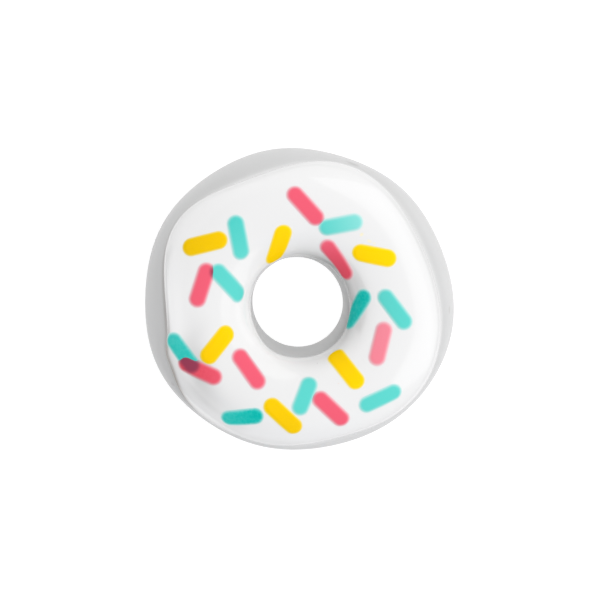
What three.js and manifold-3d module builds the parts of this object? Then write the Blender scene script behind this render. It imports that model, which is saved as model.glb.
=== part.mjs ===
// Sprinkle frosted doughnut: a plain ring, a wavy cap of smooth white icing, and short sprinkles on it.
// Millimetres and degrees, +Z up. The ring lies flat on Z 0, and its box is centred on X 0, Y 0.
// A place on the ring is a bearing, anticlockwise from +X seen from above, and a turn round the ring's
// section: 0 at the outermost side, 90 on the crown, 180 in the bore and 270 on the base.
import * as THREE from "three";
import Module from "manifold-3d";

// ---- Driving dimensions ----

const RING = {
  outerRadius: 46, // mean, where the ring is widest
  boreRadius: 13.25, // mean, where the bore is narrowest
  height: 29, // of the bare ring under the icing
  sink: 0.5, // how far the round section would reach below the floor; this much is flat
  outerFullness: 0.1, // how much squarer than an ellipse the section is outside
  boreFullness: 0.2, // and in the bore
  boreFlare: 0.12, // widening of the bore for each mm above its narrowest place
  narrowestHeight: 8.5,
  boreShift: [0.25, -1], // the hole isn't quite in the middle
  boreOval: 0.3, // and is this much longer along boreOvalBearing
  boreOvalBearing: 135,
};

// The hand-shaped outline: waves round the ring, each with its count, its height and the bearing phase.
const OUTLINE_WAVES = [
  { count: 1, height: 0.27, phase: -34 },
  { count: 2, height: 0.75, phase: -34 },
  { count: 3, height: 0.38, phase: -61 },
  { count: 4, height: 0.19, phase: -149 },
  { count: 5, height: 0.1, phase: -80 },
  { count: 6, height: 0.13, phase: -156 },
  { count: 7, height: 0.2, phase: -23 },
];

const ICING = {
  thickness: 1.5,
  swell: 0.15, // slow rise and fall of the thickness
  swellCount: 3,
  gap: 0.3, // between the ring and the icing
  edgeTurn: 56.5, // where the outer edge lies between its lobes
  boreEdgeTurn: 156,
  boreEdgeRise: 1.8, // how much higher that edge stays at boreEdgeRiseBearing
  boreEdgeRiseBearing: 199,
  boreEdgeHang: 1.5, // how much lower it hangs at boreEdgeHangBearing and opposite
  boreEdgeHangBearing: -4,
  notch: 5.5, // how much higher it stays at notchBearing
  notchBearing: 235,
  notchWidth: 27, // how far the notch reaches along the edge
  lipTurn: 9, // stretch over which the icing rises to its full thickness at its outer edge
  lipSoftness: 4, // added on the soft side of the ring, taken off on the crisp side
  softBearing: 35,
  boreLipTurn: 14, // stretch over which it thins out in the bore
};

// The icing's lobes: where each hangs lower, by how many degrees of turn, and how wide it is.
const ICING_LOBES = [
  { bearing: 70.5, hang: 22.5, width: 25 },
  { bearing: 146, hang: 18.5, width: 24 },
  { bearing: 199, hang: 5, width: 6 },
  { bearing: 222, hang: 15.5, width: 20 },
  { bearing: 252.5, hang: 15.5, width: 31.5 },
  { bearing: 319.5, hang: 16.5, width: 28.5 },
];

const SPRINKLE = {
  width: 5, // at its foot, just under the icing's surface
  rise: 0.5, // of its flat top above the icing
  bevel: 0.5, // how far its sides lean in
  root: 0.3, // depth of its foot where the icing is thick enough
};

const PINK = "pink";
const TEAL = "teal";
const YELLOW = "yellow";

// Each sprinkle's colour, the bearing and radius of its middle, the heading of its length, and that length.
const SPRINKLES = [
  [PINK, 88.5, 29.4, 132, 13.7],
  [TEAL, 64.7, 26.3, 11, 12.8],
  [TEAL, 133, 27.7, 101, 13.1],
  [YELLOW, 147.2, 34.2, 14, 13.3],
  [YELLOW, 111.3, 18.9, 73, 13.5],
  [PINK, 51.9, 17, 126, 14.5],
  [YELLOW, 34.7, 25.7, 169, 13],
  [PINK, 167.8, 30.3, 72, 13.1],
  [TEAL, 162.7, 22.8, 132, 14],
  [TEAL, 354.5, 16.6, 64, 14],
  [TEAL, 357.2, 27.3, 127, 13.6],
  [TEAL, 201.2, 37.9, 126, 13.4],
  [PINK, 211.8, 35.7, 155, 13.6],
  [YELLOW, 204.2, 27.6, 51, 12.9],
  [PINK, 229.5, 24.5, 125, 13.3],
  [PINK, 333.5, 25.8, 76, 12.9],
  [YELLOW, 304.3, 22.8, 128, 14.7],
  [TEAL, 271.2, 26.8, 68, 11.8],
  [PINK, 285.2, 31.9, 136, 13.2],
  [YELLOW, 259.8, 33.3, 136, 13.7],
  [TEAL, 241.5, 37.6, 6, 12.4],
  [TEAL, 309.7, 36.2, 24, 13.2],
];

// How finely the surfaces are faceted.
const AROUND = 84;
const RING_SECTION_STEPS = 28;
const ICING_TOP_STEPS = 18;
const ICING_UNDERSIDE_STEPS = 8;
const SPRINKLE_END_ANGLES = [65, 0]; // places on each round end, from its tip to where it meets the sides
const SPRINKLE_STRAIGHT_STEPS = 4;

// How closely a sprinkle's places on the icing are worked out.
const HALVINGS = 40;
const NEWTON_STEPS = 8;
const SMALL_TURN = 0.01; // for slopes

const { cos, sin, sqrt, min, max, PI } = Math;
const DEGREE = PI / 180;

// ---- The ring's surface ----

function outerRadiusAt(bearing) {
  let radius = RING.outerRadius;
  for (const wave of OUTLINE_WAVES)
    radius += wave.height * cos((wave.count * bearing - wave.phase) * DEGREE);
  return radius;
}

function boreRadiusAt(bearing) {
  const [shiftX, shiftY] = RING.boreShift;
  const shift = shiftX * cos(bearing * DEGREE) + shiftY * sin(bearing * DEGREE);
  const oval = RING.boreOval * cos(2 * (bearing - RING.boreOvalBearing) * DEGREE);
  return RING.boreRadius + shift + oval;
}

// A full ellipse whose corners are filled a little, more so on the bore side, and cut flat at the floor.
function ringPoint(bearing, turn) {
  const outer = outerRadiusAt(bearing);
  const bore = boreRadiusAt(bearing);
  const across = cos(turn * DEGREE);
  const up = sin(turn * DEGREE);
  const fullness =
    (RING.outerFullness + RING.boreFullness) / 2 +
    ((RING.outerFullness - RING.boreFullness) / 2) * across;
  const fullAcross = across * (1 + fullness * up * up);
  const fullUp = up * (1 + fullness * across * across);
  const halfHeight = (RING.height + RING.sink) / 2;
  const z = halfHeight - RING.sink + halfHeight * fullUp;
  const boreShare = ((1 - fullAcross) / 2) ** 2;
  const flare = RING.boreFlare * boreShare * (z - RING.narrowestHeight);
  const radius = (outer + bore) / 2 + ((outer - bore) / 2) * fullAcross + flare;
  return new THREE.Vector3(
    radius * cos(bearing * DEGREE),
    radius * sin(bearing * DEGREE),
    max(z, 0),
  );
}

// The outward normal of a surface given as a function of bearing and turn.
function normalOf(surface, bearing, turn) {
  const alongRing = surface(bearing + SMALL_TURN, turn).sub(
    surface(bearing - SMALL_TURN, turn),
  );
  const alongSection = surface(bearing, turn + SMALL_TURN).sub(
    surface(bearing, turn - SMALL_TURN),
  );
  return alongRing.cross(alongSection).normalize();
}

// ---- The icing's surface ----

// A bell-shaped share of a lobe or a notch: 1 at its middle bearing, fading with its width on either side.
function bell(bearing, middle, width) {
  const away = THREE.MathUtils.euclideanModulo(bearing - middle + 180, 360) - 180;
  return Math.exp(-((away / width) ** 2));
}

// Turn at which the outer edge lies: each lobe is a dip towards the ring's side.
function outerEdgeTurn(bearing) {
  let turn = ICING.edgeTurn;
  for (const lobe of ICING_LOBES)
    turn -= lobe.hang * bell(bearing, lobe.bearing, lobe.width);
  return turn;
}

function boreEdgeTurn(bearing) {
  const rise = ICING.boreEdgeRise * cos((bearing - ICING.boreEdgeRiseBearing) * DEGREE);
  const hang = ICING.boreEdgeHang * cos(2 * (bearing - ICING.boreEdgeHangBearing) * DEGREE);
  const notch = ICING.notch * bell(bearing, ICING.notchBearing, ICING.notchWidth);
  return ICING.boreEdgeTurn - rise + hang - notch;
}

// Thickness above the gap: a quarter ellipse from nothing at either edge up to the full thickness.
function icingThickness(bearing, turn) {
  const lip = ICING.lipTurn + ICING.lipSoftness * cos((bearing - ICING.softBearing) * DEGREE);
  const fromOuterEdge = (turn - outerEdgeTurn(bearing)) / lip;
  const fromBoreEdge = (boreEdgeTurn(bearing) - turn) / ICING.boreLipTurn;
  const short = 1 - THREE.MathUtils.clamp(min(fromOuterEdge, fromBoreEdge), 0, 1);
  const full = ICING.thickness + ICING.swell * cos(ICING.swellCount * bearing * DEGREE);
  return full * sqrt(1 - short * short);
}

function aboveRing(bearing, turn, height) {
  return ringPoint(bearing, turn).addScaledVector(normalOf(ringPoint, bearing, turn), height);
}

function icingPoint(bearing, turn) {
  return aboveRing(bearing, turn, ICING.gap + icingThickness(bearing, turn));
}

// ---- Closed surfaces and solids ----

// A closed band: sectionAt(bearing) gives the points of one closed section, the same number each time.
function bandGeometry(sectionAt) {
  const positions = [];
  const indices = [];
  let count = 0;
  for (let i = 0; i < AROUND; i++) {
    const section = sectionAt((360 * i) / AROUND);
    count = section.length;
    for (const point of section)
      positions.push(point.x, point.y, point.z);
  }
  for (let i = 0; i < AROUND; i++)
    for (let j = 0; j < count; j++) {
      const a = i * count + j;
      const b = ((i + 1) % AROUND) * count + j;
      const next = (j + 1) % count;
      const c = ((i + 1) % AROUND) * count + next;
      const d = i * count + next;
      indices.push(a, b, c, a, c, d);
    }
  return indexedGeometry(positions, indices);
}

function indexedGeometry(positions, indices) {
  const geometry = new THREE.BufferGeometry();
  geometry.setAttribute("position", new THREE.Float32BufferAttribute(positions, 3));
  geometry.setIndex(indices);
  return geometry;
}

const wasm = await Module();
wasm.setup();

function solidFrom(geometry) {
  return new wasm.Manifold(
    new wasm.Mesh({
      numProp: 3,
      vertProperties: geometry.getAttribute("position").array,
      triVerts: new Uint32Array(geometry.index.array),
    }),
  );
}

function geometryFrom(solid) {
  const { vertProperties, triVerts } = solid.getMesh();
  return indexedGeometry(Array.from(vertProperties), Array.from(triVerts));
}

// ---- The parts ----

function ringSection(bearing) {
  const section = [];
  for (let j = 0; j < RING_SECTION_STEPS; j++)
    section.push(ringPoint(bearing, (360 * j) / RING_SECTION_STEPS));
  return section;
}

// Over the top from the outer edge to the bore edge, closer together at the lips, then back underneath.
function icingSection(bearing) {
  const from = outerEdgeTurn(bearing);
  const to = boreEdgeTurn(bearing);
  const section = [];
  for (let j = 0; j <= ICING_TOP_STEPS; j++) {
    const share = (1 - cos((PI * j) / ICING_TOP_STEPS)) / 2;
    section.push(icingPoint(bearing, from + (to - from) * share));
  }
  for (let j = ICING_UNDERSIDE_STEPS - 1; j > 0; j--) {
    const share = j / ICING_UNDERSIDE_STEPS;
    section.push(aboveRing(bearing, from + (to - from) * share, ICING.gap));
  }
  return section;
}

// The turn at which the icing's top has this radius, found by halving.
function turnAtRadius(bearing, radius) {
  let outside = outerEdgeTurn(bearing);
  let inside = boreEdgeTurn(bearing);
  for (let step = 0; step < HALVINGS; step++) {
    const turn = (outside + inside) / 2;
    const { x, y } = icingPoint(bearing, turn);
    if (Math.hypot(x, y) > radius)
      outside = turn;
    else
      inside = turn;
  }
  return (outside + inside) / 2;
}

// The place on the icing nearest to a point close above it, by a few Newton steps from a first place.
function nearestPlace(point, bearing, turn) {
  for (let step = 0; step < NEWTON_STEPS; step++) {
    const here = icingPoint(bearing, turn);
    const alongRing = icingPoint(bearing + SMALL_TURN, turn).sub(here);
    const alongSection = icingPoint(bearing, turn + SMALL_TURN).sub(here);
    const miss = point.clone().sub(here);
    const rr = alongRing.dot(alongRing);
    const rs = alongRing.dot(alongSection);
    const ss = alongSection.dot(alongSection);
    const mr = alongRing.dot(miss);
    const ms = alongSection.dot(miss);
    const scale = SMALL_TURN / (rr * ss - rs * rs);
    bearing += (mr * ss - ms * rs) * scale;
    turn += (ms * rr - mr * rs) * scale;
  }
  return [bearing, turn];
}

// Stations along a sprinkle of this length: distance from its middle and half its width there.
function sprinkleStations(length) {
  const halfWidth = SPRINKLE.width / 2;
  const straight = length / 2 - halfWidth;
  const roundEnd = SPRINKLE_END_ANGLES.map((angle) => [
    straight + halfWidth * sin(angle * DEGREE),
    halfWidth * cos(angle * DEGREE),
  ]);
  const stations = roundEnd.map(([distance, reach]) => [-distance, reach]);
  for (let i = 1; i < SPRINKLE_STRAIGHT_STEPS; i++)
    stations.push([straight * ((2 * i) / SPRINKLE_STRAIGHT_STEPS - 1), halfWidth]);
  return [...stations, ...roundEnd.reverse()];
}

// A sprinkle is a low rod with round ends that follows the icing: at each station its section is a
// foot sunk in the icing, though never through it, and a narrower flat top.
function sprinkleGeometry([, bearing, radius, heading, length]) {
  const turn = turnAtRadius(bearing, radius);
  const middle = icingPoint(bearing, turn);
  const normal = normalOf(icingPoint, bearing, turn);
  const along = new THREE.Vector3(cos(heading * DEGREE), sin(heading * DEGREE), 0);
  along.z = -along.dot(normal) / normal.z;
  along.normalize();
  const across = normal.clone().cross(along);
  const stations = sprinkleStations(length);
  const positions = [];
  stations.forEach(([distance, reach], i) => {
    const isEnd = i === 0 || i === stations.length - 1;
    const topReach = reach * (1 - SPRINKLE.bevel / (SPRINKLE.width / 2));
    const topDistance = isEnd ? distance - Math.sign(distance) * SPRINKLE.bevel : distance;
    const section = [
      [distance, reach, -SPRINKLE.root],
      [topDistance, topReach, SPRINKLE.rise],
      [topDistance, -topReach, SPRINKLE.rise],
      [distance, -reach, -SPRINKLE.root],
    ];
    for (const [ahead, aside, height] of section) {
      const flat = middle.clone().addScaledVector(along, ahead).addScaledVector(across, aside);
      const place = nearestPlace(flat, bearing, turn);
      const lift = max(height, -icingThickness(...place));
      const point = icingPoint(...place).addScaledVector(normalOf(icingPoint, ...place), lift);
      positions.push(point.x, point.y, point.z);
    }
  });
  const corners = positions.length / 3 / stations.length;
  const indices = [];
  for (let i = 0; i + 1 < stations.length; i++)
    for (let j = 0; j < corners; j++) {
      const a = i * corners + j;
      const b = i * corners + ((j + 1) % corners);
      indices.push(a, b, b + corners, a, b + corners, a + corners);
    }
  const last = (stations.length - 1) * corners;
  indices.push(0, 2, 1, 0, 3, 2);
  indices.push(last, last + 1, last + 2, last, last + 2, last + 3);
  return indexedGeometry(positions, indices);
}

function icingWithSprinkles() {
  let solid = solidFrom(bandGeometry(icingSection));
  for (const row of SPRINKLES)
    solid = solid.add(solidFrom(sprinkleGeometry(row)));
  return geometryFrom(solid);
}

// ---- The object ----

const satinGrey = new THREE.MeshStandardMaterial({ color: 0xc9c9c9, roughness: 0.5, metalness: 0 });
const glossyWhite = new THREE.MeshStandardMaterial({ color: 0xf4f4f5, roughness: 0.12, metalness: 0 });

const ringGeometry = bandGeometry(ringSection);
ringGeometry.computeBoundingBox();
const centre = ringGeometry.boundingBox.getCenter(new THREE.Vector3());

const doughRing = new THREE.Mesh(ringGeometry, satinGrey);
doughRing.name = "dough_ring";

const icing = new THREE.Mesh(icingWithSprinkles(), glossyWhite);
icing.name = "icing_with_sprinkles";

const doughnut = new THREE.Group();
for (const mesh of [doughRing, icing]) {
  mesh.geometry.computeVertexNormals();
  mesh.position.set(-centre.x, -centre.y, 0);
  doughnut.add(mesh);
}

export default doughnut;
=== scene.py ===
"""Sprinkle frosted doughnut: its fine surfaces and finishes, with a stage, lights and a camera.

A place on the doughnut is a bearing, anticlockwise from +X seen from above, and a turn round the ring's
section: 0 at the outermost side, 90 degrees on the crown, 180 in the bore and 270 on the base. Lengths
are in metres and angles in radians, except in the tables, which are in millimetres and degrees.
"""

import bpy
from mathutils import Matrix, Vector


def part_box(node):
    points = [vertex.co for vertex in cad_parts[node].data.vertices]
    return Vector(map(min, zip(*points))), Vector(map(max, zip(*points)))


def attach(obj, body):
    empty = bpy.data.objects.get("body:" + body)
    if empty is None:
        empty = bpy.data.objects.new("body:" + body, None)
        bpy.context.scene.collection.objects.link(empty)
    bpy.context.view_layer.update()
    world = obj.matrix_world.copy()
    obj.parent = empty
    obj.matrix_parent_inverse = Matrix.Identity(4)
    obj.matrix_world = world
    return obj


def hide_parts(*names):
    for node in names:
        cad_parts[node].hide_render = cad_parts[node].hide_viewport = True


bl_info = {
    "name": "Sprinkle frosted doughnut",
    "version": (1, 0, 0),
    "blender": (4, 5, 0),
    "location": "3D View > Sidebar > Doughnut",
    "description": "Makes a satin grey ring doughnut with glossy white icing and coloured sprinkles",
    "category": "Add Mesh",
}

import bpy
import numpy as np
from bpy.props import FloatProperty, FloatVectorProperty, PointerProperty
from mathutils import Matrix, Vector

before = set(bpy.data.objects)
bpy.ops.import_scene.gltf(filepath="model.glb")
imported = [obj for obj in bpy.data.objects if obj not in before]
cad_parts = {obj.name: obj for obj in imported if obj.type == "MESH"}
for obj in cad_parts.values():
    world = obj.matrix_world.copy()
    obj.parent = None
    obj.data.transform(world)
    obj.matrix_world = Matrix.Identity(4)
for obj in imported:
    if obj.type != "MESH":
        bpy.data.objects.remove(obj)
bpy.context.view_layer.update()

MM = 0.001
FULL_TURN = 2 * np.pi
BASE_TURN = 1.5 * np.pi  # in the middle of the base
SMALL_TURN = 1e-4  # for slopes
HALVINGS = 40  # steps of a search by halving
NEWTON_STEPS = 8
CROWDING = 0.8  # part of their even spacing by which rows lie closer at the ends of a stretch
SHARP_ANGLE = np.radians(60)

# Steps of the ring's mesh: round it, and then round its section.
RING_BEARINGS = 432
BORE_STEPS = 56
BASE_STEPS = 8
SIDE_STEPS = 68
COVERED_STEPS = 40

# Steps of the icing's mesh: round it, over it and back underneath.
ICING_BEARINGS = 480
ICING_STEPS = 132
ICING_UNDERSIDE_STEPS = 32

# Steps of a sprinkle's mesh: along each round end and the straight stretch, and across its top and foot.
END_STEPS = 12
STRAIGHT_STEPS = 24
TOP_STEPS = 28
FOOT_STEPS = 8

# Waves by count, height and phase: in the ring's outline, and in the turn of the icing's edge in the bore.
OUTLINE_WAVES = (
    (1, 0.27, -34),
    (2, 0.75, -34),
    (3, 0.38, -61),
    (4, 0.19, -149),
    (5, 0.1, -80),
    (6, 0.13, -156),
    (7, 0.2, -23),
)
BORE_EDGE_WAVES = ((1, -1.8, 199), (2, 1.5, -8))

# The icing's lobes: bearing, how many degrees of turn it hangs lower there, and how wide it is.
ICING_LOBES = (
    (70.5, 22.5, 25),
    (146, 18.5, 24),
    (199, 5, 6),
    (222, 15.5, 20),
    (252.5, 15.5, 31.5),
    (319.5, 16.5, 28.5),
)

# The icing's thickness: slow rises round the ring, and ripples by their waves round the ring, their waves
# round its section and their phase in radians.
ICING_SWELLS = 3
ICING_RIPPLES = ((5, 3, 0), (8, -4, 1))

# Each sprinkle's middle by bearing and radius, the heading of its length, that length, and the depth of its
# colour at its near and far end: below 0 paler, above 0 deeper than the plain colour. Above 0 this is
# partly the colour's own depth and partly painted shade, near the bore and on the darker left; below 0 it
# is a painted highlight where a reflection washes the colour out.
SPRINKLES = {
    "pink": (
        (88.5, 29.4, 132, 15.3, 0, 0),
        (51.9, 17, 126, 16.1, 0.5, -0.1),
        (167.8, 30.3, 72, 14.7, 0, 0),
        (211.8, 35.7, 155, 15.2, 0.22, 0.8),
        (229.5, 24.5, 125, 14.9, 0, 0),
        (333.5, 25.8, 76, 14.5, -0.22, -0.26),
        (285.2, 31.9, 136, 14.8, 0, 0),
    ),
    "teal": (
        (64.7, 26.3, 11, 14.4, 0.02, -0.28),
        (133, 27.7, 101, 14.7, -0.05, 0.15),
        (162.7, 22.8, 132, 15.6, 0, 0),
        (354.5, 16.6, 64, 15.6, 0.5, 0.65),
        (357.2, 27.3, 127, 15.2, 0, 0),
        (201.2, 37.9, 126, 15, 0.58, 0.28),
        (271.2, 26.8, 68, 13.4, 0, 0),
        (241.5, 37.6, 6, 14, 0.25, 1),
        (309.7, 36.2, 24, 14.8, 0, 0),
    ),
    "yellow": (
        (147.2, 34.2, 14, 14.6, 0.8, 0.5),
        (111.3, 18.9, 73, 14.8, 0.25, 0),
        (34.7, 25.7, 169, 14.3, 0, 0),
        (204.2, 27.6, 51, 14.2, 0.5, 0.1),
        (304.3, 22.8, 128, 16, 0, 0.5),
        (259.8, 33.3, 136, 15, 0.5, 0.4),
    ),
}

# The colours from the lowest to the highest where they cross, and how much the depth of each varies from
# spot to spot.
MOTTLING = {"teal": 1.4, "yellow": 0.3, "pink": 1.0}

# The least roughness of each finish, and what its clouds or spots add.
ROUGHNESS = {"ring": (0.42, 0.1), "icing": (0.05, 0.06), "sprinkles": (0.1, 0.06)}

# Painted shading on the icing, added to the even thinness that lets the ring's grey show through: above 0
# greyer, painted shade near the bore, along the outer edge, on the darker lower left and where a lip would
# catch a highlight; below 0 whiter, painted light where a reflection falls. Then a warm stain along the
# edges, which is also painted shade in the crease between the icing and the ring: bearing, distance from
# the edge, spread along and across the ring, and strength.
PAINTED_SHADING_BY_BORE = (
    (0, 0, 1000, 1.1, 0.6),
    (285, 2.3, 55, 0.8, -0.2),
    (15, 0, 75, 3.8, 0.6),
    (58, 0, 24, 2.6, 0.7),
    (56, 1.8, 14, 0.8, 0.4),
    (148, 2.5, 34, 0.7, 0.35),
    (155, 4.6, 50, 2, -0.12),
    (192, 3.5, 14, 1.5, -0.1),
    (205, 2.8, 60, 1.5, -0.15),
    (15, 9, 60, 5, -0.05),
    (225, 9, 70, 6, 0.04),
)
# The same painted shading, by distance from the outer edge.
PAINTED_SHADING_BY_OUTSIDE = (
    (0, 0, 1000, 1, 0.25),
    (212, 7.7, 18, 3.2, 0.33),
    (200, 3, 60, 2.5, -0.12),
    (15, 1.6, 55, 1.4, 0.14),
    (110, 0.3, 18, 1, -0.12),
    (170, 0.8, 18, 1, -0.2),
    (232, 1, 16, 0.8, 0.15),
    (231, 4, 14, 2.2, -0.17),
)
# Stains along the edges, partly painted crease shade where the icing meets the ring.
STAIN_AND_CREASE_SHADE_ON_ICING = (
    (172, 0, 24, 0.8, 0.15),
    (199, 0.7, 9, 0.8, 0.75),
    (211, 0.5, 7, 0.8, 0.9),
    (220, 0.4, 7, 0.8, 0.95),
)
STAIN_AND_CREASE_SHADE_IN_BORE = (
    (350, 0.8, 14, 1.2, 0.25),
)
STAIN_AND_CREASE_SHADE_ON_RING = (
    (168, 0.75, 24, 0.5, 0.27),
    (186, 0.5, 9, 0.5, 0.2),
    (212, 0.3, 8, 0.8, 0.7),
    (222, 0.5, 8, 0.9, 0.8),
)

# A film of icing on the ring by the icing's edge, which in places is painted light where the ring is
# brightened, and below 0 painted shade where the ring is darker, as on the bore wall under the icing's
# edge. Rows as above.
FILM_AND_PAINTED_SHADING_ON_RING = (
    (0, 0, 80, 0.8, 0.45),
    (112, 0.2, 26, 0.9, 0.5),
    (174, 0, 16, 0.4, 0.35),
    (258, 0, 30, 0.8, 0.25),
    (276, 1, 28, 2.5, 0.32),
    (15, 2.3, 60, 1.6, -0.06),
    (140, 3.2, 30, 2.6, -0.06),
    (205, 3.5, 12, 1.5, -0.08),
    (221, 1.5, 9, 2.2, -0.28),
)
# Only painted shade: the bore wall darker just under the icing's edge.
PAINTED_SHADE_ON_BORE_WALL = (
    (328, 1.6, 28, 2, -0.25),
    (350, 1.8, 12, 2, -0.12),
)

# Small marks, on the upper half alone: the middle, half the length, half the width, the heading of the
# length, the red, green and blue, and the strength.
MARKS_ON_ICING = (
    (16.7, 20.7, 0.8, 0.6, 40, (0.92, 0.75, 0.2), 0.4),
    (19, 18.7, 1, 0.6, 150, (0.92, 0.75, 0.2), 0.3),
    (20.4, 18, 0.7, 0.5, 0, (0.92, 0.75, 0.2), 0.2),
    (4, -17.8, 0.3, 0.2, 70, (0.5, 0.48, 0.48), 0.5),
    (10, -23.4, 0.35, 0.25, 0, (0.72, 0.5, 0.4), 0.35),
    (-28.4, -11, 0.3, 0.25, 0, (0.6, 0.5, 0.45), 0.3),
)
MARKS_ON_RING = (
    (15, 40.9, 2.8, 0.4, -20, (0.25, 0.24, 0.23), 0.27),
    (43.9, -2.6, 0.35, 1.6, 0, (0.3, 0.27, 0.25), 0.25),
    (-38.6, -24.2, 0.9, 0.5, -50, (0.35, 0.33, 0.32), 0.4),
)
MARKED_HEIGHTS = (14 * MM, 16 * MM)  # between which marks come up to their full strength

# Flat panels in the surround: bearing and elevation of the middle, half the width and half the height in
# degrees, softness of the edge in degrees, and the red, green and blue that it adds. Below 0 it darkens.
PANELS = (
    (8, 20, 22, 13, 1.5, (0.26, 0.26, 0.26)),
    (78, 42, 24, 26, 1.5, (0.08, 0.08, 0.08)),
    (130, 42, 20, 20, 4, (0.15, 0.15, 0.15)),
    (180, 50, 22, 16, 6, (0.13, 0.13, 0.13)),
    (272, 38, 20, 24, 1.5, (-0.03, 0, 0.06)),
    (315, 45, 20, 20, 6, (0.12, 0.12, 0.12)),
    (208, 18, 42, 18, 8, (-1.14, -1.14, -1.14)),
)
PANEL_SIGHT = 0.1  # cosine from a panel's middle at which the panel is seen in full

# Sines of the elevations between which the surround brightens: low down, and then overhead.
SKY_STEPS = (-0.09, 0.34, 0.94)


# ---- Settings ----


def length(label, text, millimetres):
    """A length setting, whose default is given in millimetres."""
    return FloatProperty(name=label, description=text, default=millimetres * MM, precision=5, unit="LENGTH")


def angle(label, text, degrees):
    """An angle setting, whose default is given in degrees."""
    return FloatProperty(name=label, description=text, default=float(np.radians(degrees)), subtype="ANGLE")


def colour(label, text, red, green, blue):
    """A colour setting, in linear light."""
    return FloatVectorProperty(
        name=label, description=text, default=(red, green, blue), subtype="COLOR", min=0, max=1
    )


def share(label, text, default):
    """A setting from 0 to 1."""
    return FloatProperty(name=label, description=text, default=default, min=0, max=1, subtype="FACTOR")


def number(label, text, default):
    """A number without a unit. A brightness of 1 shows as white."""
    return FloatProperty(name=label, description=text, default=default, min=0)


class RingSettings(bpy.types.PropertyGroup):
    outer_radius: length("Outer radius", "Mean radius where the ring is widest", 46)
    bore_radius: length("Bore radius", "Mean radius where the bore is narrowest", 13.25)
    height: length("Height", "Height of the bare ring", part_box("dough_ring")[1].z / MM)
    sink: length("Flat underside", "How far the round section would reach below the floor", 0.5)
    outer_fullness: share("Outer fullness", "How much squarer than an ellipse the outside is", 0.1)
    bore_fullness: share("Bore fullness", "How much squarer than an ellipse the bore side is", 0.2)
    bore_flare: share("Bore flare", "Widening of the bore for its height above the narrowest place", 0.12)
    narrowest_height: length("Narrowest height", "Height at which the bore is narrowest", 8.5)
    bore_shift_x: length("Hole offset X", "How far the hole is off the middle", 0.25)
    bore_shift_y: length("Hole offset Y", "How far the hole is off the middle", -1)
    bore_oval: length("Hole oval", "How much longer than round the hole is along its oval bearing", 0.3)
    bore_oval_bearing: angle("Oval bearing", "Bearing along which the hole is longest", 135)


class IcingSettings(bpy.types.PropertyGroup):
    thickness: length("Thickness", "Height of the icing's surface above the ring", 1.8)
    swell: length("Swell", "Slow rise and fall of the thickness", 0.15)
    ripple: length("Ripple", "Slight unevenness of the poured surface", 0.03)
    seat: length("Seat", "Height of the icing's underside above the ring", 0.05)
    edge_turn: angle("Edge", "Turn at which the outer edge lies between its lobes", 56.5)
    bore_edge_turn: angle("Bore edge", "Mean turn at which the edge in the bore lies", 156)
    notch: angle("Notch", "How much higher that edge stays at the notch", 5.5)
    notch_bearing: angle("Notch bearing", "Bearing of the notch", 235)
    notch_width: angle("Notch width", "How far the notch reaches along the edge", 27)
    lip: angle("Lip", "Stretch over which the icing rises to its full thickness", 9)
    lip_softness: angle("Lip softness", "Added on the soft side, taken off on the crisp side", 4)
    soft_bearing: angle("Soft bearing", "Bearing of the soft side", 35)
    bore_lip: angle("Bore lip", "Stretch over which the icing thins out in the bore", 14)
    thinness: share("Thinness", "How much of the ring's grey shows through", 0.26)


class SprinkleSettings(bpy.types.PropertyGroup):
    width: length("Width", "Width at the foot", 6.3)
    rise: length("Rise", "Height of the top above the icing", 0.2)
    stacking: length("Stacking", "How much higher each next colour's top lies where they cross", 0.04)
    shoulder: length("Shoulder", "How far in from the side the top becomes flat", 1.7)
    root: length("Root", "Depth of the foot in the icing", 0.03)
    soft_rim: length("Soft rim", "Stretch over which the colour comes up to its full strength", 1.65)
    crisp_rim: length("Crisp rim", "The same for yellow", 1.2)


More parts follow.
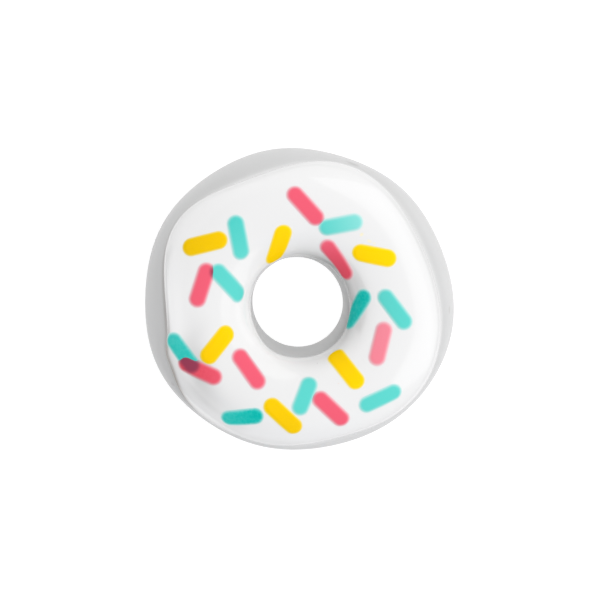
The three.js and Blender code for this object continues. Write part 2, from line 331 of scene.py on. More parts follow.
class FinishSettings(bpy.types.PropertyGroup):
    ring_light: colour("Light grey", "Satin grey of the ring where it is lightest", 0.575, 0.575, 0.575)
    ring_dark: colour("Dark grey", "Satin grey of the ring where it is darkest", 0.515, 0.515, 0.515)
    # The stain colour also paints the crease shade along the icing's edge.
    stain_and_crease_shade: colour("Stain", "Thin warm line left along the icing's edge", 0.2, 0.165, 0.14)
    icing: colour("Icing", "White of the icing", 0.863, 0.86, 0.86)
    # The shade grey is painted shade on the ring; the thin greys also carry the icing's painted shade.
    shade: colour("Shade", "Dark grey to which the ring darkens here and there", 0.1, 0.1, 0.1)
    thin_and_painted_shading: colour("Thin icing", "Grey of the icing where it is thinnest", 0.28, 0.28, 0.28)
    rim: colour("Rim", "White to which a sprinkle's colour fades at its rim", 0.895, 0.89, 0.89)
    thin_and_shaded_rim: colour("Thin rim", "Grey to which it fades where the icing is thinnest", 0.35, 0.35, 0.35)
    # Each deep colour also stands for painted shade where a sprinkle lies near the bore or on the darker
    # left.
    pink: colour("Pink", "Sprinkle colour", 0.775, 0.102, 0.161)
    pink_deep: colour("Deep pink", "Pink where the colour lies thick", 0.65, 0.055, 0.08)
    teal: colour("Teal", "Sprinkle colour", 0.099, 0.585, 0.53)
    teal_deep: colour("Deep teal", "Teal where the colour lies thick", 0, 0.41, 0.36)
    yellow: colour("Yellow", "Sprinkle colour", 0.93, 0.6, 0)
    yellow_deep: colour("Deep yellow", "Yellow where the colour lies thick", 0.74, 0.45, 0)
    crossing: colour("Crossing", "Pink where it lies over teal", 0.27, 0.04, 0.08)
    grain_size: length("Grain size", "Size of the ring's cast grain", 0.35)
    grain_depth: length("Grain depth", "Depth of that grain", 0.03)
    grain_strength: share("Grain strength", "How much of that depth is felt", 0.35)
    ring_cloud_size: length("Ring cloud size", "Size of the ring's faint clouds", 9)
    ring_clouds: share("Ring clouds", "How much of the ring's grey follows its clouds, not its grain", 0.4)
    icing_cloud_size: length("Icing cloud size", "Size of the icing's faint clouds", 12)
    icing_index: number("Icing index", "Refractive index of the icing", 1.8)
    mottle_size: length("Mottle size", "Size of the spots in the sprinkles", 0.9)
    sprinkle_index: number("Sprinkle index", "Refractive index of the sprinkles", 1.15)


class StageSettings(bpy.types.PropertyGroup):
    camera_distance: length("Camera distance", "From the camera to its aim", 800)
    camera_tilt: angle("Camera tilt", "How far off straight above the camera is", 8)
    camera_bearing: angle("Camera bearing", "The side to which it is off", 130)
    aim: FloatVectorProperty(
        name="Aim", description="Point in the middle of the view", default=(-0.00001, -0.00023, 0.01425),
        precision=5, subtype="TRANSLATION"
    )
    lens: number("Lens", "Focal length in millimetres", 160)
    near_clip: length("Near clip", "Nearest distance that the camera shows", 10)
    floor_width: length("Floor width", "Width of the square floor", 6000)
    high_light: number("High light", "Brightness of the surround overhead", 1.18)
    low_light: number("Low light", "Brightness of the surround low down", 1.08)
    horizon_light: number("Horizon light", "Brightness of the surround at the horizon", 0.54)
    lamp_bearing: angle("Lamp bearing", "Bearing of the large flat lamp", 9)
    lamp_elevation: angle("Lamp elevation", "Elevation of the lamp", 47)
    lamp_distance: length("Lamp distance", "From the lamp to the doughnut", 240)
    lamp_width: length("Lamp width", "Width of the lamp", 400)
    lamp_height: length("Lamp height", "Height of the lamp", 214)
    lamp_light: number("Lamp light", "Brightness of the lamp", 0.47)
    hole_glow: number("Hole glow", "Brightness of the floor's own glow inside the hole", 0.74)
    floor_glow: number("Floor glow", "Brightness of the floor's own glow outside", 0.62)
    hole_glow_end: length("Hole glow end", "Radius up to which the floor has the hole's glow", 16)
    floor_glow_start: length("Floor glow start", "Radius from which it has the outer glow", 22)


class DoughnutSettings(bpy.types.PropertyGroup):
    ring: PointerProperty(type=RingSettings)
    icing: PointerProperty(type=IcingSettings)
    sprinkles: PointerProperty(type=SprinkleSettings)
    finish: PointerProperty(type=FinishSettings)
    stage: PointerProperty(type=StageSettings)


# ---- The doughnut's surfaces ----


def dot(a, b):
    """The sum of two vectors' parts multiplied in pairs."""
    return np.sum(a * b, axis=-1)


def unit(vectors):
    """Each vector over its own length."""
    return vectors / np.linalg.norm(vectors, axis=-1, keepdims=True)


def smooth(values):
    """0 below 0, 1 above 1, and an S-curve between."""
    held = np.clip(values, 0, 1)
    return held * held * (3 - 2 * held)


def waves(rows, bearing):
    """The sum of cosine waves round the ring."""
    return sum(height * np.cos(count * bearing - np.radians(phase)) for count, height, phase in rows)


def bell(bearing, middle, width):
    """1 at the middle bearing, and less on both sides along a bell curve of this width."""
    away = np.mod(bearing - middle + np.pi, FULL_TURN) - np.pi
    return np.exp(-((away / width) ** 2))


def spots(rows, bearing, distance):
    """The sum of spots, each a bell curve along the ring and another across it, off the edge."""
    total = 0 * distance
    for middle, offset, spread, width, strength in rows:
        across = np.exp(-(((distance / MM - offset) / width) ** 2))
        total = total + strength * bell(bearing, *np.radians((middle, spread))) * across
    return total


def normal_of(surface, bearing, turn):
    """The outward normal: the slope along the ring crossed with the slope along its section."""
    along_ring = surface(bearing + SMALL_TURN, turn) - surface(bearing - SMALL_TURN, turn)
    along_section = surface(bearing, turn + SMALL_TURN) - surface(bearing, turn - SMALL_TURN)
    return unit(np.cross(along_ring, along_section))


class Form:
    """The surfaces of the ring and of the icing, as functions of bearing and turn.

    Both are moved so that the middle of the ring's outline lies over the origin.
    """

    def __init__(self, settings):
        self.ring = settings.ring
        self.icing = settings.icing
        self.centre = np.zeros(3)
        rim = self.ring_point(np.linspace(0, FULL_TURN, RING_BEARINGS), 0.0)
        self.centre[:2] = (rim.min(axis=0) + rim.max(axis=0))[:2] / 2

    def outer_radius(self, bearing):
        """A mean radius plus a few cosine waves round the ring."""
        return self.ring.outer_radius + waves(OUTLINE_WAVES, bearing) * MM

    def bore_radius(self, bearing):
        """A mean radius, the hole's offset along this bearing, and one oval wave."""
        ring = self.ring
        shift = ring.bore_shift_x * np.cos(bearing) + ring.bore_shift_y * np.sin(bearing)
        oval = ring.bore_oval * np.cos(2 * (bearing - ring.bore_oval_bearing))
        return ring.bore_radius + shift + oval

    def ring_point(self, bearing, turn):
        """An ellipse whose corners are filled a little, carried round the ring.

        Across and up are the cosine and sine of the turn, each stretched by 1 + fullness times the
        other's square. The bore widens in proportion to the height above its narrowest place. What
        would reach below the floor is cut flat.
        """
        ring = self.ring
        bearing, turn = np.broadcast_arrays(bearing, turn)
        across = np.cos(turn)
        up = np.sin(turn)
        mean_fullness = (ring.outer_fullness + ring.bore_fullness) / 2
        fullness = mean_fullness + (ring.outer_fullness - ring.bore_fullness) / 2 * across
        full_across = across * (1 + fullness * up**2)
        full_up = up * (1 + fullness * across**2)
        half_height = (ring.height + ring.sink) / 2
        z = half_height * (1 + full_up) - ring.sink
        flare = ring.bore_flare * ((1 - full_across) / 2) ** 2 * (z - ring.narrowest_height)
        outer = self.outer_radius(bearing)
        bore = self.bore_radius(bearing)
        radius = (outer + bore) / 2 + (outer - bore) / 2 * full_across + flare
        point = np.stack([radius * np.cos(bearing), radius * np.sin(bearing), np.maximum(z, 0)], axis=-1)
        return point - self.centre

    def floor_turn(self, side):
        """The turn between the base and this side at which the ring meets the floor, found by halving.

        The ring's height depends on the turn alone, so one bearing stands for all.
        """
        flat = BASE_TURN
        for _ in range(HALVINGS):
            turn = (flat + side) / 2
            if self.ring_point(0.0, turn)[2] > 0:
                side = turn
            else:
                flat = turn
        return flat

    def section_length(self, turn):
        """About how far a turn reaches along the section."""
        return turn * self.ring.height / 2

    def above_ring(self, bearing, turn, height):
        """The point at this height above the ring, along its normal."""
        normal = normal_of(self.ring_point, bearing, turn)
        return self.ring_point(bearing, turn) + normal * np.asarray(height)[..., None]

    def outer_edge(self, bearing):
        """The outer edge's turn: each lobe is a bell-shaped dip towards the ring's side."""
        turn = self.icing.edge_turn + 0 * bearing
        for middle, hang, width in np.radians(ICING_LOBES):
            turn = turn - hang * bell(bearing, middle, width)
        return turn

    def bore_edge(self, bearing):
        """The turn of the edge in the bore: a mean turn, two waves and a bell-shaped notch."""
        icing = self.icing
        notch = icing.notch * bell(bearing, icing.notch_bearing, icing.notch_width)
        return icing.bore_edge_turn + np.radians(waves(BORE_EDGE_WAVES, bearing)) - notch

    def icing_height(self, bearing, turn):
        """Height above the ring: a quarter ellipse from the seat at either edge up to the thickness."""
        icing = self.icing
        lip = icing.lip + icing.lip_softness * np.cos(bearing - icing.soft_bearing)
        share = np.minimum(
            (turn - self.outer_edge(bearing)) / lip, (self.bore_edge(bearing) - turn) / icing.bore_lip
        )
        short = 1 - np.clip(share, 0, 1)
        full = icing.thickness + icing.swell * np.cos(ICING_SWELLS * bearing)
        for round_ring, round_section, phase in ICING_RIPPLES:
            full = full + icing.ripple * np.sin(round_ring * bearing + round_section * turn + phase)
        return icing.seat + (full - icing.seat) * np.sqrt(1 - short**2)

    def icing_point(self, bearing, turn):
        """The point above the ring, along its normal, at the icing's height."""
        return self.above_ring(bearing, turn, self.icing_height(bearing, turn))

    def painted_shading_and_stain(self, bearing, turn):
        """How much the icing greys at each place, from its even thinness with painted shade and painted
        light, and how much stain with painted crease shade it has.
        """
        from_outside = self.section_length(turn - self.outer_edge(bearing))
        from_bore = self.section_length(self.bore_edge(bearing) - turn)
        thin_and_painted_shading = spots(PAINTED_SHADING_BY_BORE, bearing, from_bore) + spots(PAINTED_SHADING_BY_OUTSIDE, bearing, from_outside)
        stain_and_crease_shade = spots(STAIN_AND_CREASE_SHADE_IN_BORE, bearing, from_bore) + spots(STAIN_AND_CREASE_SHADE_ON_ICING, bearing, from_outside)
        return np.clip(self.icing.thinness + thin_and_painted_shading, 0, 1), np.clip(stain_and_crease_shade, 0, 1)

    def turn_at_radius(self, bearing, radius):
        """The turn at which the icing's top has this radius, found by halving."""
        outside = self.outer_edge(bearing)
        inside = self.bore_edge(bearing)
        for _ in range(HALVINGS):
            turn = (outside + inside) / 2
            point = self.icing_point(bearing, turn) + self.centre
            too_far_out = np.hypot(point[..., 0], point[..., 1]) > radius
            outside = np.where(too_far_out, turn, outside)
            inside = np.where(too_far_out, inside, turn)
        return turn

    def nearest_place(self, point, bearing, turn):
        """The place on the icing nearest to each point, by Newton steps along the surface's two slopes."""
        for _ in range(NEWTON_STEPS):
            here = self.icing_point(bearing, turn)
            along_ring = (self.icing_point(bearing + SMALL_TURN, turn) - here) / SMALL_TURN
            along_section = (self.icing_point(bearing, turn + SMALL_TURN) - here) / SMALL_TURN
            miss = point - here
            rr = dot(along_ring, along_ring)
            rs = dot(along_ring, along_section)
            ss = dot(along_section, along_section)
            mr = dot(along_ring, miss)
            ms = dot(along_section, miss)
            spread = rr * ss - rs * rs
            bearing = bearing + (mr * ss - ms * rs) / spread
            turn = turn + (ms * rr - mr * rs) / spread
        return bearing, turn


# ---- Meshes ----


def new_piece(name, points, faces, values):
    """A smooth mesh object at the origin, with a number on each point for every named value."""
    mesh = bpy.data.meshes.new(name)
    mesh.from_pydata(points, [], faces)
    mesh.shade_smooth()
    mesh.set_sharp_from_angle(angle=SHARP_ANGLE)
    for label, numbers in values.items():
        mesh.attributes.new(label, "FLOAT", "POINT").data.foreach_set("value", numbers.ravel())
    if mesh.validate() or not np.isfinite(points).all():
        raise RuntimeError(f"{name}: its mesh has a bad face or point")
    piece = bpy.data.objects.new(name, mesh)
    bpy.context.scene.collection.objects.link(piece)
    return piece


def grid_faces(rows, columns, closed_rows):
    """Four-sided faces between neighbouring points of a grid whose columns close on themselves."""
    row = np.arange(rows if closed_rows else rows - 1)[:, None]
    column = np.arange(columns)[None, :]
    next_row = (row + 1) % rows
    next_column = (column + 1) % columns
    corners = [
        row * columns + column,
        next_row * columns + column,
        next_row * columns + next_column,
        row * columns + next_column,
    ]
    return np.stack(corners, axis=-1).reshape(-1, 4)


def band_piece(name, points, values):
    """A closed band: sections, one for each bearing, joined all the way round."""
    rows, columns = points.shape[:2]
    return new_piece(name, points.reshape(-1, 3), grid_faces(rows, columns, True), values)


def crowded(shares):
    """Shares of a stretch from 0 to 1, moved by a sine so that they lie closest at its ends."""
    return shares - CROWDING * np.sin(FULL_TURN * shares) / FULL_TURN


def ring_places(form):
    """Bearings and turns over the whole ring: down the bore, over the base, up the side, under the icing.

    A row of places lies along each edge of the flat base. Down the bore and up the side the rows are
    closest together at the icing's edge.
    """
    bearing = np.linspace(0, FULL_TURN, RING_BEARINGS, endpoint=False)[:, None]
    outer_edge = form.outer_edge(bearing) + FULL_TURN
    bore_edge = form.bore_edge(bearing)
    bore_floor = form.floor_turn(np.pi)
    outer_floor = form.floor_turn(FULL_TURN)
    down = 2 * crowded(np.linspace(0, 0.5, BORE_STEPS, endpoint=False))
    flat = np.linspace(0, 1, BASE_STEPS, endpoint=False)
    up = 2 * crowded(np.linspace(0.5, 1, SIDE_STEPS, endpoint=False)) - 1
    covered = np.linspace(0, 1, COVERED_STEPS, endpoint=False)
    turn = np.concatenate([
        bore_edge + (bore_floor - bore_edge) * down,
        bore_floor + (outer_floor - bore_floor) * flat + 0 * bearing,
        outer_floor + (outer_edge - outer_floor) * up,
        outer_edge + (bore_edge + FULL_TURN - outer_edge) * covered,
    ], axis=1)
    return bearing + 0 * turn, turn


def icing_sections(form):
    """Points over the icing from its outer edge to the one in the bore, and back underneath.

    Also gives each point's bearing and turn. Over the top the turn goes as the cosine of an even angle,
    so that the rows lie closest at both edges.
    """
    bearing = np.linspace(0, FULL_TURN, ICING_BEARINGS, endpoint=False)[:, None]
    outer_edge = form.outer_edge(bearing)
    bore_edge = form.bore_edge(bearing)
    top_share = (1 - np.cos(np.linspace(0, np.pi, ICING_STEPS + 1))) / 2
    underside_share = np.linspace(1, 0, ICING_UNDERSIDE_STEPS + 1)[1:-1]
    top_turn = outer_edge + (bore_edge - outer_edge) * top_share
    underside_turn = outer_edge + (bore_edge - outer_edge) * underside_share
    top = form.icing_point(bearing, top_turn)
    underside = form.above_ring(bearing, underside_turn, form.icing.seat)
    turn = np.concatenate([top_turn, underside_turn], axis=1)
    return np.concatenate([top, underside], axis=1), bearing + 0 * turn, turn


class Sprinkle:
    """One sprinkle's place on the icing: its middle, its axes and its straight stretch."""

    def __init__(self, form, row, width):
        bearing, radius, heading, total_length, self.near_depth, self.far_depth_and_shading = row
        self.bearing = np.radians(bearing)
        self.turn = form.turn_at_radius(self.bearing, radius * MM)
        self.middle = form.icing_point(self.bearing, self.turn)
        self.normal = normal_of(form.icing_point, self.bearing, self.turn)
        heading = np.radians(heading)
        along = np.array([np.cos(heading), np.sin(heading), 0])
        along[2] = -dot(along, self.normal) / self.normal[2]
        self.along = unit(along)
        self.across = np.cross(self.normal, self.along)
        self.half_width = width / 2
        self.half_straight = total_length * MM / 2 - self.half_width

    def depth_and_shading_at(self, along):
        """The depth of the colour, in step with the distance along the sprinkle: above 0 partly painted
        shade, below 0 a painted highlight.
        """
        share = np.clip(along / (self.half_straight + self.half_width) / 2 + 0.5, 0, 1)
        return self.near_depth + (self.far_depth_and_shading - self.near_depth) * share

    def reach_of(self, points):
        """How far each point lies inside this sprinkle's outline, in the plane it lies in.

        A point farther off that plane than half the width counts as outside.
        """
        away = points - self.middle
        past_straight = np.maximum(np.abs(dot(away, self.along)) - self.half_straight, 0)
        reach = self.half_width - np.hypot(past_straight, dot(away, self.across))
        near = np.abs(dot(away, self.normal)) < self.half_width
        return np.where(near, reach, -self.half_width)


def sprinkle_grid(sprinkle):
    """Local places on one sprinkle: along, across, and how far in from its outline, top then underside.

    Stations are closest together at the round ends. Across each station the places go from side to side
    as the sine of an even angle, over the top and then back along the foot.
    """
    end_angle = np.linspace(np.pi / 2, 0, END_STEPS, endpoint=False)
    end_along = sprinkle.half_straight + sprinkle.half_width * np.sin(end_angle)
    end_reach = sprinkle.half_width * np.cos(end_angle)
    straight = np.linspace(-sprinkle.half_straight, sprinkle.half_straight, STRAIGHT_STEPS + 1)
    along = np.concatenate([-end_along, straight, end_along[::-1]])[:, None]
    reach = np.concatenate([end_reach, 0 * straight + sprinkle.half_width, end_reach[::-1]])[:, None]
    top_angle = np.linspace(-np.pi / 2, np.pi / 2, TOP_STEPS + 1)
    foot_angle = np.linspace(np.pi / 2, -np.pi / 2, FOOT_STEPS + 1)[1:-1]
    across = reach * np.sin(np.concatenate([top_angle, foot_angle]))
    past_straight = np.maximum(np.abs(along) - sprinkle.half_straight, 0)
    inside = sprinkle.half_width - np.hypot(past_straight, across)
    is_top = np.arange(across.shape[1]) <= TOP_STEPS
    return along + 0 * across, across, inside, is_top


def sprinkle_surface(form, sprinkle, settings, rise):
    """One sprinkle's points, each laid on the nearest place of the icing and lifted along its normal.

    The lift goes from the root's depth at the outline up to the rise, as an S-curve over the shoulder,
    and is flat farther in. The foot stays at the root's depth.
    """
    along, across, inside, is_top = sprinkle_grid(sprinkle)
    flat = sprinkle.middle + along[..., None] * sprinkle.along + across[..., None] * sprinkle.across
    bearing, turn = form.nearest_place(flat, sprinkle.bearing, sprinkle.turn)
    lift = np.where(is_top, (settings.root + rise) * smooth(inside / settings.shoulder), 0) - settings.root
    normal = normal_of(form.icing_point, bearing, turn)
    points = form.icing_point(bearing, turn) + normal * lift[..., None]
    return points, along, inside, form.painted_shading_and_stain(bearing, turn)[0]


def joined_sprinkles(form, sprinkles, crossed, size, rise, rim_width):
    """Points, faces and named values of sprinkles in one mesh.

    The values are the depth of the colour, partly painted shade and highlight, how far it has faded at the
    rim, how far inside one of the crossed sprinkles it lies, and how grey the icing is there, from its
    thinness and painted shading.
    """
    points, faces = [], []
    values = {"depth": [], "rim": [], "crossing": [], "thin_and_painted_shading": []}
    for sprinkle in sprinkles:
        surface, along, inside, thin_and_painted_shading = sprinkle_surface(form, sprinkle, size, rise)
        faces += tipped_faces(*along.shape, sum(len(each) for each in points))
        surface = with_tips(surface)
        points.append(surface)
        over = np.zeros(len(surface))
        for other in crossed:
            over = np.maximum(over, smooth(other.reach_of(surface) / rim_width))
        values["depth"].append(with_tips(sprinkle.depth_and_shading_at(along)))
        values["rim"].append(1 - smooth(with_tips(inside) / rim_width))
        values["crossing"].append(over)
        values["thin_and_painted_shading"].append(with_tips(thin_and_painted_shading))
    return np.concatenate(points), faces, {name: np.concatenate(each) for name, each in values.items()}


def with_tips(values):
    """The values of a sprinkle's places in a row, where its first and last station are one place each."""
    rest = values.shape[2:]
    return np.concatenate([values[1:-1].reshape(-1, *rest), values[0, :1], values[-1, :1]])


def tipped_faces(rows, columns, start):
    """Faces of a closed tube of stations, whose first and last are one point each, the last two points.

    The corners are counted from the start.
    """
    tube = grid_faces(rows - 2, columns, False) + start
    column = np.arange(columns) + start
    following = (np.arange(columns) + 1) % columns + start
    to_last_row = (rows - 3) * columns
    first_tip = np.full(columns, start + (rows - 2) * columns)
    first_fan = np.stack([first_tip, column, following], axis=-1)
    last_fan = np.stack([column + to_last_row, first_tip + 1, following + to_last_row], axis=-1)
    return tube.tolist() + first_fan.tolist() + last_fan.tolist()


# ---- Finishes ----


def operation(name, swapped=False):
    """An operator of Number, which adds a Math node."""

    def operate(self, other=0):
        first, second = (other, self) if swapped else (self, other)
        return self.finish.maths(name, first, second)

    return operate


class Number:
    """A number that varies over a surface. It wraps a socket, and each operator adds a Math node."""

    def __init__(self, finish, socket):
        self.finish = finish
        self.socket = socket

    __add__ = operation("ADD")
    __radd__ = operation("ADD", swapped=True)
    __sub__ = operation("SUBTRACT")
    __rsub__ = operation("SUBTRACT", swapped=True)
    __mul__ = operation("MULTIPLY")
    __rmul__ = operation("MULTIPLY", swapped=True)
    __truediv__ = operation("DIVIDE")
    __abs__ = operation("ABSOLUTE")


class Finish:
    """A node tree under construction, for a material or for the world."""

    def __init__(self, tree):
        self.tree = tree
        self.tree.nodes.clear()

    def node(self, kind, settings=None, inputs=None, output=0):
        """Adds a node: its settings first, then the value or link of each socket. Gives one output."""
        made = self.tree.nodes.new(kind)
        for name, value in (settings or {}).items():
            setattr(made, name, value)
        for name, value in (inputs or {}).items():
            if isinstance(value, Number):
                self.tree.links.new(value.socket, made.inputs[name])
            else:
                made.inputs[name].default_value = value
        return Number(self, made.outputs[output]) if made.outputs else None

    def maths(self, operation, first, second):
        """A number from two others."""
        return self.node("ShaderNodeMath", {"operation": operation}, {0: first, 1: second})

    def vectors(self, operation, *inputs, output="Vector"):
        """A vector or colour from others, or with the output Value a number."""
        return self.node("ShaderNodeVectorMath", {"operation": operation}, dict(enumerate(inputs)), output)

    def dot(self, first, second):
        """How far the first vector reaches along the second, times the second's length."""
        return self.vectors("DOT_PRODUCT", first, second, output="Value")

    def attribute(self, name):
        """A number that the mesh holds on each point."""
        return self.node("ShaderNodeAttribute", {"attribute_name": name}, output="Fac")

    def place(self):
        """The place on the object, in metres."""
        return self.node("ShaderNodeTexCoord", output="Object")

    def noise(self, size, detail=2.0):
        """Soft noise about 0.5, whose blotches are about this long."""
        inputs = {"Vector": self.place(), "Scale": 1 / size, "Detail": detail}
        return self.node("ShaderNodeTexNoise", inputs=inputs, output="Fac")

    def step(self, value, low, high):
        """A smooth step: 0 where the value is low, 1 where it is high."""
        inputs = {"Value": value, "From Min": low, "From Max": high}
        return self.node("ShaderNodeMapRange", {"interpolation_type": "SMOOTHSTEP"}, inputs)

    def mix(self, factor, first, second):
        """A colour from the first to the second."""
        inputs = {0: factor, 6: as_colour(first), 7: as_colour(second)}
        return self.node("ShaderNodeMix", {"data_type": "RGBA"}, inputs, output=2)

    def marked(self, base, rows):
        """The base colour with soft oval marks, each strongest in its middle and gone at its outline."""
        upper = self.step(self.dot(self.place(), (0, 0, 1)), *MARKED_HEIGHTS)
        for x, y, half_length, half_width, heading, shade, strength in rows:
            heading = np.radians(heading)
            along = Vector((np.cos(heading), np.sin(heading), 0))
            away = self.vectors("SUBTRACT", self.place(), (x * MM, y * MM, 0))
            lengthwise = self.dot(away, along / (half_length * MM))
            widthwise = self.dot(away, Vector((-along.y, along.x, 0)) / (half_width * MM))
            outward = lengthwise * lengthwise + widthwise * widthwise
            base = self.mix(strength * upper * (1 - self.step(outward, 0.0, 1.0)), base, shade)
        return base

    def bump(self, height, distance, strength):
        """A normal tilted by the slope of the height."""
        inputs = {"Height": height, "Distance": distance, "Strength": strength}
        return self.node("ShaderNodeBump", inputs=inputs)

    def surface(self, sockets):
        """The material's one shader, which ends the tree."""
        shader = self.node("ShaderNodeBsdfPrincipled", inputs=sockets)
        self.node("ShaderNodeOutputMaterial", inputs={"Surface": shader})


def as_colour(value):
    """A colour for a socket: a link stays one, and three numbers get an alpha."""
    return value if isinstance(value, Number) else (*value, 1)


def new_material(name):
    """A material and its node tree, still empty."""
    material = bpy.data.materials.new(name)
    material.use_nodes = True
    return material, Finish(material.node_tree)


def roughness(name, clouds):
    """The roughness of a finish, in step with its clouds or spots."""
    least, added = ROUGHNESS[name]
    return least + added * clouds


def ring_finish(colours):
    """Satin grey: a fine cast grain, faint cloudiness, a film of icing along the icing's edge that also
    paints light and shade, and a stain there that is partly painted crease shade.
    """
    material, finish = new_material("ring_satin_grey")
    grain = finish.noise(colours.grain_size, detail=3.0)
    cloud = finish.noise(colours.ring_cloud_size)
    tone = colours.ring_clouds * cloud + (1 - colours.ring_clouds) * grain
    plain = finish.mix(tone, colours.ring_dark, colours.ring_light)
    film_and_painted_shading = finish.attribute("film_and_painted_shading")
    base = finish.mix(film_and_painted_shading, plain, colours.icing)
    # Below 0 the film darkens the ring towards the shade grey: painted shade.
    base = finish.mix(0 - film_and_painted_shading, base, colours.shade)
    base = finish.mix(finish.attribute("stain_and_crease_shade"), base, colours.stain_and_crease_shade)
    finish.surface({
        "Base Color": finish.marked(base, MARKS_ON_RING),
        "Roughness": roughness("ring", cloud),
        "Normal": finish.bump(grain, colours.grain_depth, colours.grain_strength),
    })
    return material


def icing_finish(colours):
    """Glossy white. The ring's grey shows through where it is thin, greyed further by painted shade and
    whitened by painted light, and one side has a stained edge that is partly painted crease shade.
    """
    material, finish = new_material("icing_glossy_white")
    cloud = finish.noise(colours.icing_cloud_size)
    # Grey where the icing is thin, greyer by painted shade and whiter by painted light, all by the same
    # value.
    base = finish.mix(finish.attribute("thin_and_painted_shading"), colours.icing, colours.thin_and_painted_shading)
    base = finish.mix(finish.attribute("stain_and_crease_shade"), base, colours.stain_and_crease_shade)
    finish.surface({
        "Base Color": finish.marked(base, MARKS_ON_ICING),
        "Roughness": roughness("icing", cloud),
        "IOR": colours.icing_index,
    })
    return material


def root(colour):
    """The square root of each part of a colour."""
    return [part**0.5 for part in colour]


def sprinkle_finish(slot, name, colours):
    """Glossy colour that fades at its rim to the icing's own white, greying there where the icing is thin
    and where it carries painted shade.

    It is deeper by its depth, partly painted shade, and paler where that is below 0, a painted highlight;
    it is mottled where it is deep, and dark over teal. The colours are mixed as square roots and then
    squared, so that the mixed tones stay clean.
    """
    material, finish = new_material(slot)
    plain = root(getattr(colours, name))
    deep = root(getattr(colours, f"{name}_deep"))
    mottle = finish.noise(colours.mottle_size, detail=3.0)
    depth = finish.attribute("depth")
    crossing = finish.attribute("crossing")
    # Depth above 0 deepens the colour, partly painted shade; below 0 it pales it towards the rim white, a
    # painted highlight.
    base = finish.mix(depth * (1 + MOTTLING[name] * (mottle - 0.5)), plain, deep)
    base = finish.mix(0 - depth, base, root(colours.rim))
    base = finish.mix(crossing, base, root(colours.crossing))
    # Under the rim, grey where the icing is thin and where it carries painted shade.
    under = finish.mix(finish.attribute("thin_and_painted_shading"), root(colours.rim), root(colours.thin_and_shaded_rim))
    under = finish.mix(crossing, under, root(colours.teal))
    base = finish.mix(finish.attribute("rim"), base, under)
    finish.surface({
        "Base Color": finish.vectors("MULTIPLY", base, base),
        "Roughness": roughness("sprinkles", mottle),
        "IOR": colours.sprinkle_index,
    })
    return material


# ---- Operators ----


class DOUGHNUT_OT_make_ring(bpy.types.Operator):
    """Make the plain ring in satin grey"""

    bl_idname = "doughnut.make_ring"
    bl_label = "Ring"

    def execute(self, context):
        settings = context.scene.doughnut
        form = Form(settings)
        bearing, turn = ring_places(form)
        below_outer = form.section_length(np.abs(form.outer_edge(bearing) + FULL_TURN - turn))
        below_bore = form.section_length(np.abs(turn - form.bore_edge(bearing)))
        # Stain that is partly painted crease shade, and a film that also paints light and shade.
        stain_and_crease_shade = spots(STAIN_AND_CREASE_SHADE_ON_RING, bearing, below_outer)
        film_and_painted_shading = spots(FILM_AND_PAINTED_SHADING_ON_RING, bearing, below_outer) + spots(PAINTED_SHADE_ON_BORE_WALL, bearing, below_bore)
        ring = band_piece("ring", form.ring_point(bearing, turn), {"stain_and_crease_shade": stain_and_crease_shade, "film_and_painted_shading": film_and_painted_shading})
        ring.data.materials.append(ring_finish(settings.finish))
        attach(ring, "root")
        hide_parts("dough_ring")
        return {"FINISHED"}


class DOUGHNUT_OT_make_icing(bpy.types.Operator):
    """Make the glossy white cap of icing"""

    bl_idname = "doughnut.make_icing"
    bl_label = "Icing"

    def execute(self, context):
        settings = context.scene.doughnut
        form = Form(settings)
        points, bearing, turn = icing_sections(form)
        # Thinness with painted shading, and stain with painted crease shade.
        thin_and_painted_shading, stain_and_crease_shade = form.painted_shading_and_stain(bearing, turn)
        icing = band_piece("icing", points, {"stain_and_crease_shade": stain_and_crease_shade, "thin_and_painted_shading": thin_and_painted_shading})
        icing.data.materials.append(icing_finish(settings.finish))
        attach(icing, "root")
        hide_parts("icing_with_sprinkles")
        return {"FINISHED"}


class DOUGHNUT_OT_make_sprinkles(bpy.types.Operator):
    """Make the sprinkles, one piece for each colour"""

    bl_idname = "doughnut.make_sprinkles"
    bl_label = "Sprinkles"

    def execute(self, context):
        settings = context.scene.doughnut
        form = Form(settings)
        size = settings.sprinkles
        placed = {
            name: [Sprinkle(form, row, size.width) for row in rows] for name, rows in SPRINKLES.items()
        }
        for layer, name in enumerate(MOTTLING):
            rise = size.rise + layer * size.stacking
            rim_width = size.crisp_rim if name == "yellow" else size.soft_rim
            crossed = placed["teal"] if name == "pink" else []
            mesh = joined_sprinkles(form, placed[name], crossed, size, rise, rim_width)
            piece = new_piece(f"sprinkles_{name}", *mesh)
            slot = f"sprinkle_{name}"
            piece.data.materials.append(sprinkle_finish(slot, name, settings.finish))
            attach(piece, "root")
            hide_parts("icing_with_sprinkles")
        return {"FINISHED"}


def direction(bearing, elevation):
    """The unit vector towards a bearing and a height above the horizon."""
    return Vector((
        np.cos(bearing) * np.cos(elevation),
        np.sin(bearing) * np.cos(elevation),
        np.sin(elevation),
    ))


def looking(back, up_hint):
    """The turn of a camera or lamp that looks against the vector back."""
    right = up_hint.cross(back).normalized()
    return Matrix((right, back.cross(right), back)).transposed()


def add_lamp(stage):
    """A flat lamp that faces the doughnut. Its power is pi times its area times its brightness."""
    lamp = bpy.data.lights.new("lamp", "AREA")
    lamp.shape = "RECTANGLE"
    lamp.size = stage.lamp_width
    lamp.size_y = stage.lamp_height
    lamp.energy = np.pi * lamp.size * lamp.size_y * stage.lamp_light
    back = direction(stage.lamp_bearing, stage.lamp_elevation)
    place = Matrix.Translation(back * stage.lamp_distance)
    shown = bpy.data.objects.new("lamp", lamp)
    shown.matrix_world = place @ looking(back, Vector((0, 0, 1))).to_4x4()
    shown.visible_camera = False
    bpy.context.scene.collection.objects.link(shown)


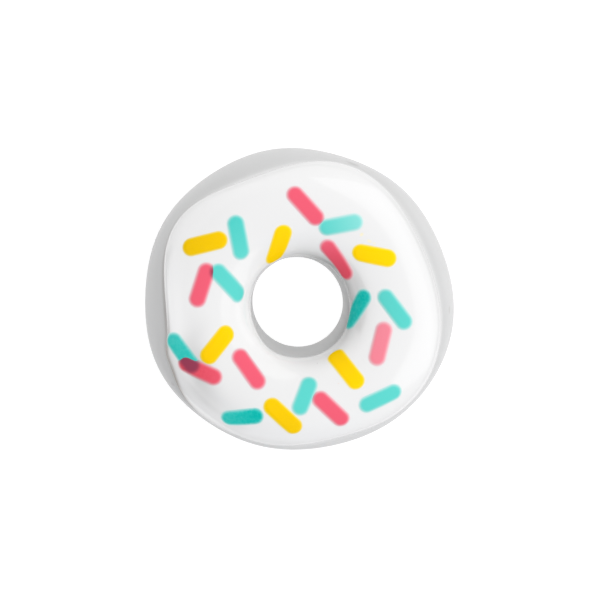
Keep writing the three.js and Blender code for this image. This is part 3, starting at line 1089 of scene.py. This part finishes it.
def floor_finish(stage):
    """White, with a soft glow of its own. Inside the hole more of it shows than it sheds on the bore."""
    material, finish = new_material("floor_white")
    from_middle = finish.vectors("LENGTH", finish.place(), output="Value")
    inside = 1 - finish.step(from_middle, stage.hole_glow_end, stage.floor_glow_start)
    shown = finish.node("ShaderNodeLightPath", output="Is Camera Ray")
    glow = finish.mix(inside * shown, [stage.floor_glow] * 3, [stage.hole_glow] * 3)
    finish.surface({
        "Base Color": as_colour((0.5, 0.5, 0.5)),
        "Roughness": 0.9,
        "Specular IOR Level": 0.0,
        "Emission Color": glow,
        "Emission Strength": 1.0,
    })
    return material


class DOUGHNUT_OT_make_stage(bpy.types.Operator):
    """Make the floor, the lights and the camera"""

    bl_idname = "doughnut.make_stage"
    bl_label = "Stage"

    def execute(self, context):
        scene = context.scene
        stage = scene.doughnut.stage
        scene.view_settings.view_transform = "Standard"
        half = stage.floor_width / 2
        corners = np.array([[-half, -half, 0], [half, -half, 0], [half, half, 0], [-half, half, 0]])
        floor = new_piece("floor", corners, np.array([[0, 1, 2, 3]]), {})
        floor.data.materials.append(floor_finish(stage))
        self.light_world(scene, stage)
        add_lamp(stage)
        back = direction(stage.camera_bearing, np.pi / 2 - stage.camera_tilt)
        camera = bpy.data.objects.new("camera", bpy.data.cameras.new("camera"))
        camera.data.lens = stage.lens
        camera.data.clip_start = stage.near_clip
        place = Vector(stage.aim) + back * stage.camera_distance
        camera.matrix_world = Matrix.Translation(place) @ looking(back, Vector((0, 1, 0))).to_4x4()
        scene.collection.objects.link(camera)
        scene.camera = camera
        return {"FINISHED"}

    def light_world(self, scene, stage):
        """A bright surround that dims towards the horizon, with flat panels in it."""
        scene.world = bpy.data.worlds.new("surround")
        scene.world.use_nodes = True
        sky = Finish(scene.world.node_tree)
        towards = sky.node("ShaderNodeTexCoord", output="Generated")
        height = sky.dot(towards, (0, 0, 1))
        horizon, low, high = SKY_STEPS
        light = stage.horizon_light
        light += (stage.low_light - stage.horizon_light) * sky.step(height, horizon, low)
        light += (stage.high_light - stage.low_light) * sky.step(height, low, high)
        light = sky.node("ShaderNodeCombineXYZ", inputs={0: light, 1: light, 2: light})
        for row in PANELS:
            mask = panel_mask(sky, towards, *np.radians(row[:5]))
            added = sky.node("ShaderNodeVectorMath", {"operation": "SCALE"}, {0: row[5], "Scale": mask})
            light = sky.vectors("ADD", light, added)
        light = sky.vectors("MAXIMUM", light, (0, 0, 0))
        shown = sky.node("ShaderNodeBackground", inputs={"Color": light})
        sky.node("ShaderNodeOutputWorld", inputs={"Surface": shown})


def panel_mask(sky, towards, bearing, elevation, half_width, half_height, softness):
    """1 in the directions of a flat rectangular panel, 0 elsewhere.

    Over a direction's part along the panel's middle, its parts aside and upwards are the place on the
    panel's plane, as tangents.
    """
    middle = direction(bearing, elevation)
    right = Vector((0, 0, 1)).cross(middle).normalized()
    ahead = sky.dot(towards, middle)
    aside = abs(sky.dot(towards, right)) / ahead
    upwards = abs(sky.dot(towards, middle.cross(right))) / ahead
    mask = sky.step(ahead, 0.0, PANEL_SIGHT)
    for distance, half in ((aside, np.tan(half_width)), (upwards, np.tan(half_height))):
        mask = mask * (1 - sky.step(distance, float(half - softness), float(half + softness)))
    return mask


class DOUGHNUT_PT_panel(bpy.types.Panel):
    """The doughnut's operators and settings"""

    bl_label = "Sprinkle frosted doughnut"
    bl_idname = "DOUGHNUT_PT_panel"
    bl_space_type = "VIEW_3D"
    bl_region_type = "UI"
    bl_category = "Doughnut"

    def draw(self, context):
        settings = context.scene.doughnut
        for operator in OPERATORS:
            self.layout.operator(operator.bl_idname)
        for group in (settings.ring, settings.icing, settings.sprinkles, settings.finish, settings.stage):
            box = self.layout.box()
            for name in group.__annotations__:
                box.prop(group, name)


SETTINGS = (RingSettings, IcingSettings, SprinkleSettings, FinishSettings, StageSettings, DoughnutSettings)
OPERATORS = (
    DOUGHNUT_OT_make_ring,
    DOUGHNUT_OT_make_icing,
    DOUGHNUT_OT_make_sprinkles,
    DOUGHNUT_OT_make_stage,
)


def register():
    for each in (*SETTINGS, *OPERATORS, DOUGHNUT_PT_panel):
        bpy.utils.register_class(each)
    bpy.types.Scene.doughnut = PointerProperty(type=DoughnutSettings)


def unregister():
    del bpy.types.Scene.doughnut
    for each in reversed((*SETTINGS, *OPERATORS, DOUGHNUT_PT_panel)):
        bpy.utils.unregister_class(each)


def main():
    register()
    bpy.ops.doughnut.make_ring()
    bpy.ops.doughnut.make_icing()
    bpy.ops.doughnut.make_sprinkles()
    bpy.ops.doughnut.make_stage()


if __name__ == "__main__":
    main()
